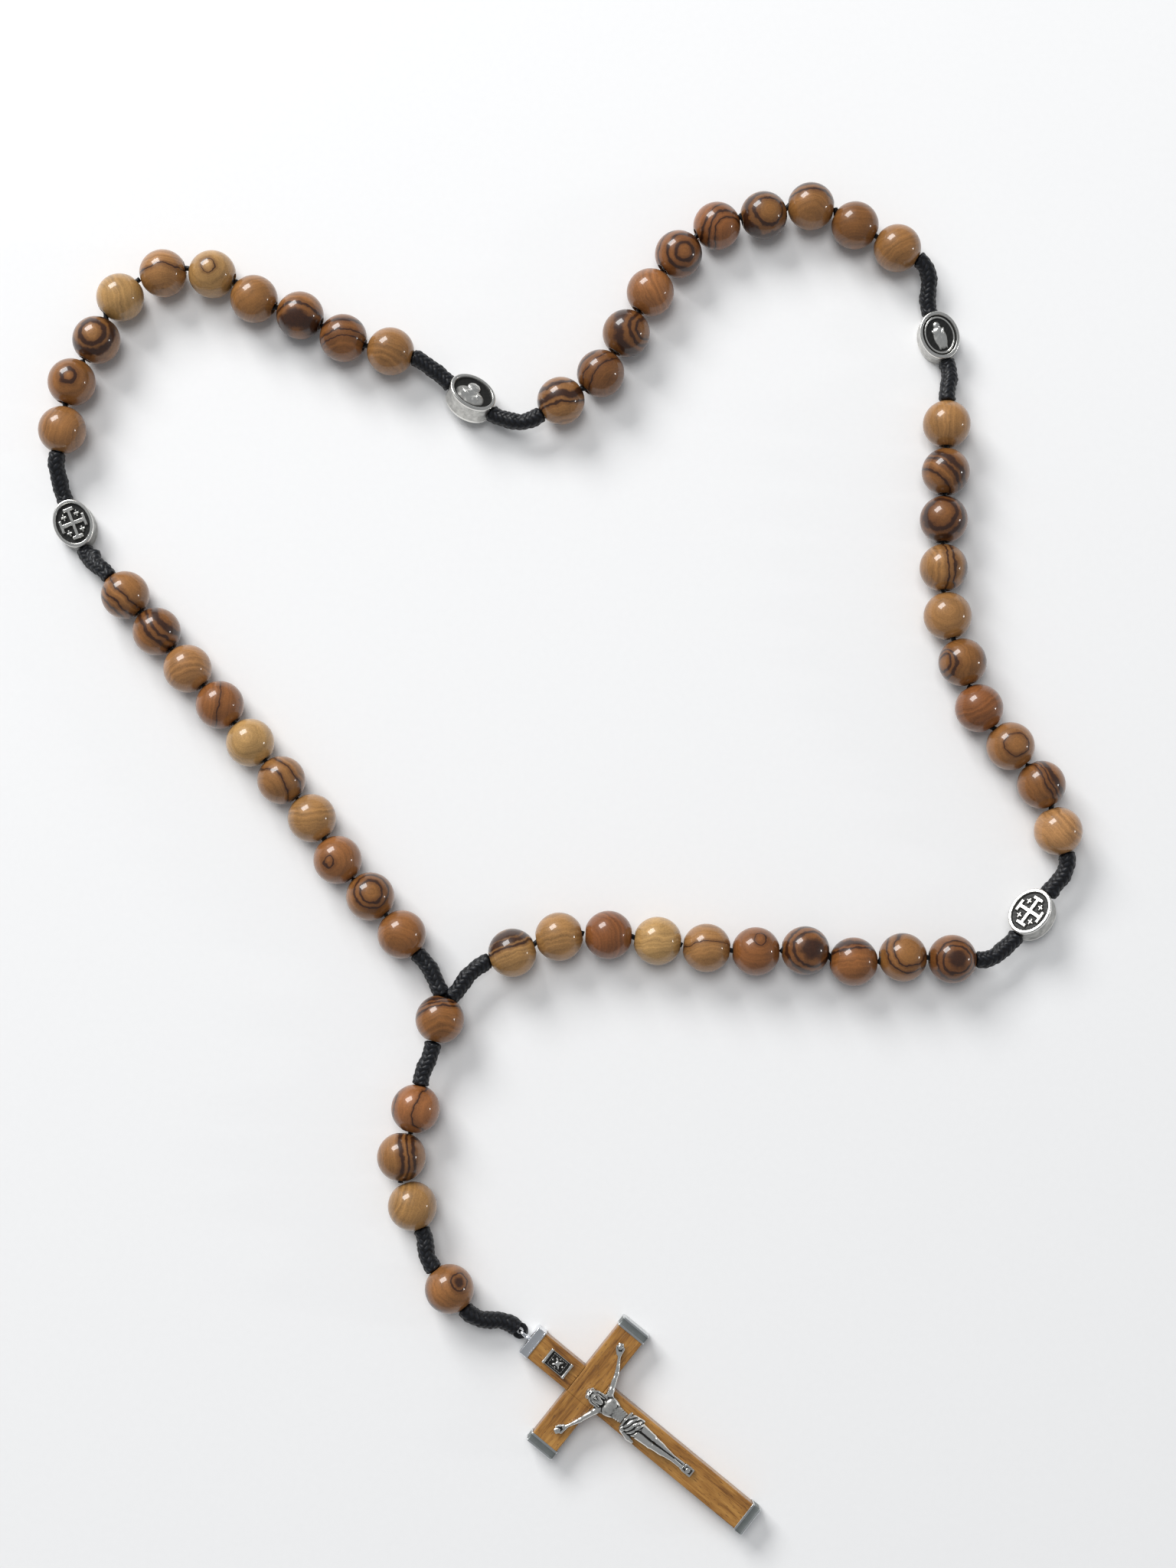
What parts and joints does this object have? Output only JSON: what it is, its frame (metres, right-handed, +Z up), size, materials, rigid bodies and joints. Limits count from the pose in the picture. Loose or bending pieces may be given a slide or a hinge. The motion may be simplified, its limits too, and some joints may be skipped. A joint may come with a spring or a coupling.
{
  "type": "rosary",
  "caption": "Prayer rosary: loop of turned wooden beads and oval metal medals on a black cord, with a beaded pendant ending in a wooden crucifix, laid flat and articulated.",
  "frame": {"origin": "middle of the whole object's box, on the surface that the rosary lies on", "axes": "+Z up from the surface, +Y from the crucifix towards the far side of the loop, +X to the right as the corpus is seen from above"},
  "size_m": [0.1742, 0.2242, 0.008],
  "materials": {
    "olive_wood": "gloss lacquer",
    "black_cord": "waxed plaited cord",
    "medal_metal": "oxidised silver tone",
    "cross_wood": "satin",
    "cap_metal": "polished",
    "figure_metal": "oxidised silver tone"
  },
  "bodies": {
    "centre": {"centre_bead": "olive_wood", "wrap_pendant_top": "black_cord", "pendant_string": "black_cord"},
    "loop": {"wrap_centre_decade1": "black_cord", "wrap_decade1_medal_1": "black_cord", "wrap_medal_1_decade2": "black_cord", "wrap_decade4_medal_4": "black_cord", "wrap_medal_4_decade5": "black_cord", "wrap_decade5_centre": "black_cord", "loop_string": "black_cord"},
    "upper_loop": {"wrap_decade2_medal_2": "black_cord", "wrap_medal_2_decade3": "black_cord", "wrap_decade3_medal_3": "black_cord", "wrap_medal_3_decade4": "black_cord"},
    "decade1": {"decade1_beads_1_2": "olive_wood", "decade1_beads_9_10": "olive_wood"},
    "decade1_inner": {"decade1_beads_3_4": "olive_wood", "decade1_beads_7_8": "olive_wood"},
    "decade1_middle": {"decade1_beads_5_6": "olive_wood"},
    "decade2": {"decade2_beads_1_2": "olive_wood", "decade2_beads_9_10": "olive_wood"},
    "decade2_inner": {"decade2_beads_3_4": "olive_wood", "decade2_beads_7_8": "olive_wood"},
    "decade2_middle": {"decade2_beads_5_6": "olive_wood"},
    "decade3": {"decade3_beads_1_2": "olive_wood", "decade3_beads_9_10": "olive_wood"},
    "decade3_inner": {"decade3_beads_3_4": "olive_wood", "decade3_beads_7_8": "olive_wood"},
    "decade3_middle": {"decade3_beads_5_6": "olive_wood"},
    "decade4": {"decade4_beads_1_2": "olive_wood", "decade4_beads_9_10": "olive_wood"},
    "decade4_inner": {"decade4_beads_3_4": "olive_wood", "decade4_beads_7_8": "olive_wood"},
    "decade4_middle": {"decade4_beads_5_6": "olive_wood"},
    "decade5": {"decade5_beads_1_2": "olive_wood", "decade5_beads_9_10": "olive_wood"},
    "decade5_inner": {"decade5_beads_3_4": "olive_wood", "decade5_beads_7_8": "olive_wood"},
    "decade5_middle": {"decade5_beads_5_6": "olive_wood"},
    "medal_1": {"medal_1": "medal_metal"},
    "medal_2": {"medal_2": "medal_metal"},
    "medal_3": {"medal_3": "medal_metal"},
    "medal_4": {"medal_4": "medal_metal"},
    "pendant_1": {"pendant_bead_1": "olive_wood"},
    "pendant_2": {"pendant_bead_2": "olive_wood"},
    "pendant_3": {"pendant_bead_3": "olive_wood", "wrap_pendant_lower": "black_cord"},
    "lower": {"lower_bead": "olive_wood", "wrap_crucifix": "black_cord"},
    "end_link": {"end_loop": "black_cord"},
    "crucifix": {"upright": "cross_wood", "crossbar": "cross_wood", "top_cap": "cap_metal", "foot_cap": "cap_metal", "left_cap": "cap_metal", "right_cap": "cap_metal", "title_plate": "figure_metal", "corpus": "figure_metal", "nails": "figure_metal"}
  },
  "joints": [
    {"name": "loop_fold", "type": "hinge", "parent": "centre", "child": "loop", "pos_m": [-0.01744, -0.02167, 0.004], "axis": [0.9949, -0.1011, 0], "range_deg": [0, 60], "deforming": ["wrap_decade5_centre", "wrap_centre_decade1", "loop_string"]},
    {"name": "upper_fold", "type": "hinge", "parent": "loop", "child": "upper_loop", "pos_m": [-0.00002, 0.02813, 0.00333], "axis": [0.9289, -0.3703, 0.0036], "range_deg": [0, 60], "deforming": ["wrap_decade4_medal_4", "wrap_medal_1_decade2", "loop_string"]},
    {"name": "decade1_swing", "type": "hinge", "parent": "loop", "child": "decade1", "pos_m": [0.02938, -0.02005, 0.00383], "axis": [0.999, 0.044, -0.0039], "range_deg": [0, 60], "deforming": ["wrap_centre_decade1", "wrap_decade1_medal_1", "loop_string"]},
    {"name": "decade1_inner_swing", "type": "hinge", "parent": "decade1", "child": "decade1_inner", "pos_m": [0.02883, -0.01714, 0.004], "axis": [0.9982, -0.0598, 0], "range_deg": [0, 45], "deforming": ["loop_string"]},
    {"name": "decade1_middle_swing", "type": "hinge", "parent": "decade1_inner", "child": "decade1_middle", "pos_m": [0.02891, -0.01694, 0.004], "axis": [-0.998, 0.064, 0], "range_deg": [0, 45], "deforming": ["loop_string"]},
    {"name": "decade2_swing", "type": "hinge", "parent": "upper_loop", "child": "decade2", "pos_m": [0.07495, 0.0365, 0.00333], "axis": [-0.2062, 0.9785, -0.0077], "range_deg": [0, 60], "deforming": ["wrap_medal_1_decade2", "wrap_decade2_medal_2", "loop_string"]},
    {"name": "decade2_inner_swing", "type": "hinge", "parent": "decade2", "child": "decade2_inner", "pos_m": [0.07286, 0.03604, 0.004], "axis": [-0.277, 0.9609, 0], "range_deg": [0, 45], "deforming": ["loop_string"]},
    {"name": "decade2_middle_swing", "type": "hinge", "parent": "decade2_inner", "child": "decade2_middle", "pos_m": [0.0675, 0.03428, 0.004], "axis": [-0.2308, 0.973, 0], "range_deg": [0, 45], "deforming": ["loop_string"]},
    {"name": "decade3_swing", "type": "hinge", "parent": "upper_loop", "child": "decade3", "pos_m": [0.02804, 0.08303, 0.00333], "axis": [0.946, 0.3241, -0.0089], "range_deg": [0, 55], "deforming": ["wrap_medal_2_decade3", "wrap_decade3_medal_3", "loop_string"]},
    {"name": "decade3_inner_swing", "type": "hinge", "parent": "decade3", "child": "decade3_inner", "pos_m": [0.02893, 0.09198, 0.004], "axis": [0.8602, 0.51, 0], "range_deg": [0, 45], "deforming": ["loop_string"]},
    {"name": "decade3_middle_swing", "type": "hinge", "parent": "decade3_inner", "child": "decade3_middle", "pos_m": [0.02541, 0.09985, 0.004], "axis": [0.822, 0.5695, 0], "range_deg": [0, 45], "deforming": ["loop_string"]},
    {"name": "decade4_swing", "type": "hinge", "parent": "upper_loop", "child": "decade4", "pos_m": [-0.05233, 0.07079, 0.00333], "axis": [0.9592, 0.2825, 0.01], "range_deg": [0, 50], "deforming": ["wrap_medal_3_decade4", "wrap_decade4_medal_4", "loop_string"]},
    {"name": "decade4_inner_swing", "type": "hinge", "parent": "decade4", "child": "decade4_inner", "pos_m": [-0.0588, 0.0815, 0.004], "axis": [0.9865, 0.1639, 0], "range_deg": [0, 45], "deforming": ["loop_string"]},
    {"name": "decade4_middle_swing", "type": "hinge", "parent": "decade4_inner", "child": "decade4_middle", "pos_m": [-0.06241, 0.09216, 0.004], "axis": [0.9999, -0.0119, 0], "range_deg": [0, 45], "deforming": ["loop_string"]},
    {"name": "decade5_swing", "type": "hinge", "parent": "loop", "child": "decade5", "pos_m": [-0.0489, 0.01281, 0.0035], "axis": [0.6393, -0.7689, 0.0112], "range_deg": [0, 90], "deforming": ["wrap_medal_4_decade5", "wrap_decade5_centre", "loop_string"]},
    {"name": "decade5_inner_swing", "type": "hinge", "parent": "decade5", "child": "decade5_inner", "pos_m": [-0.04867, 0.01326, 0.004], "axis": [0.6313, -0.7755, 0], "range_deg": [0, 45], "deforming": ["loop_string"]},
    {"name": "decade5_middle_swing", "type": "hinge", "parent": "decade5_inner", "child": "decade5_middle", "pos_m": [-0.04821, 0.01359, 0.004], "axis": [0.6338, -0.7735, 0], "range_deg": [0, 45], "deforming": ["loop_string"]},
    {"name": "medal_1_spin", "type": "hinge", "parent": "loop", "child": "medal_1", "pos_m": [0.0787, -0.0118, 0.00331], "axis": [0.6018, 0.7986, 0], "continuous": true},
    {"name": "medal_2_spin", "type": "hinge", "parent": "upper_loop", "child": "medal_2", "pos_m": [0.0646, 0.0859, 0.002], "axis": [-0.309, 0.9511, 0], "continuous": true},
    {"name": "medal_3_spin", "type": "hinge", "parent": "upper_loop", "child": "medal_3", "pos_m": [-0.0145, 0.0751, 0.00331], "axis": [-0.809, 0.5878, 0], "continuous": true},
    {"name": "medal_4_spin", "type": "hinge", "parent": "loop", "child": "medal_4", "pos_m": [-0.081, 0.0537, 0.002], "axis": [0.3746, -0.9272, 0], "continuous": true},
    {"name": "pendant_turn", "type": "hinge", "parent": "centre", "child": "pendant_1", "pos_m": [-0.02125, -0.03625, 0.004], "axis": [0, 0, 1], "range_deg": [-40, 40], "deforming": ["wrap_pendant_top", "pendant_string"]},
    {"name": "pendant_lift", "type": "hinge", "parent": "pendant_1", "child": "pendant_2", "pos_m": [-0.023, -0.0436, 0.004], "axis": [-0.9613, 0.2756, 0], "range_deg": [0, 50], "deforming": ["pendant_string"]},
    {"name": "pendant_bead_turn", "type": "hinge", "parent": "pendant_2", "child": "pendant_3", "pos_m": [-0.02525, -0.05143, 0.004], "axis": [0, 0, -1], "range_deg": [-30, 30], "deforming": ["pendant_string"]},
    {"name": "lower_bead_lift", "type": "hinge", "parent": "pendant_3", "child": "lower", "pos_m": [-0.02106, -0.06645, 0.004], "axis": [-0.866, -0.5, 0], "range_deg": [0, 50], "deforming": ["wrap_pendant_lower", "pendant_string"]},
    {"name": "crucifix_turn", "type": "hinge", "parent": "lower", "child": "end_link", "pos_m": [-0.01104, -0.07752, 0.003], "axis": [0, 0, 1], "range_deg": [-45, 45], "deforming": ["wrap_crucifix"]},
    {"name": "crucifix_flip", "type": "hinge", "parent": "end_link", "child": "crucifix", "pos_m": [-0.0051, -0.08023, 0.002], "axis": [-0.6293, -0.7771, 0], "range_deg": [0, 70]}
  ]
}
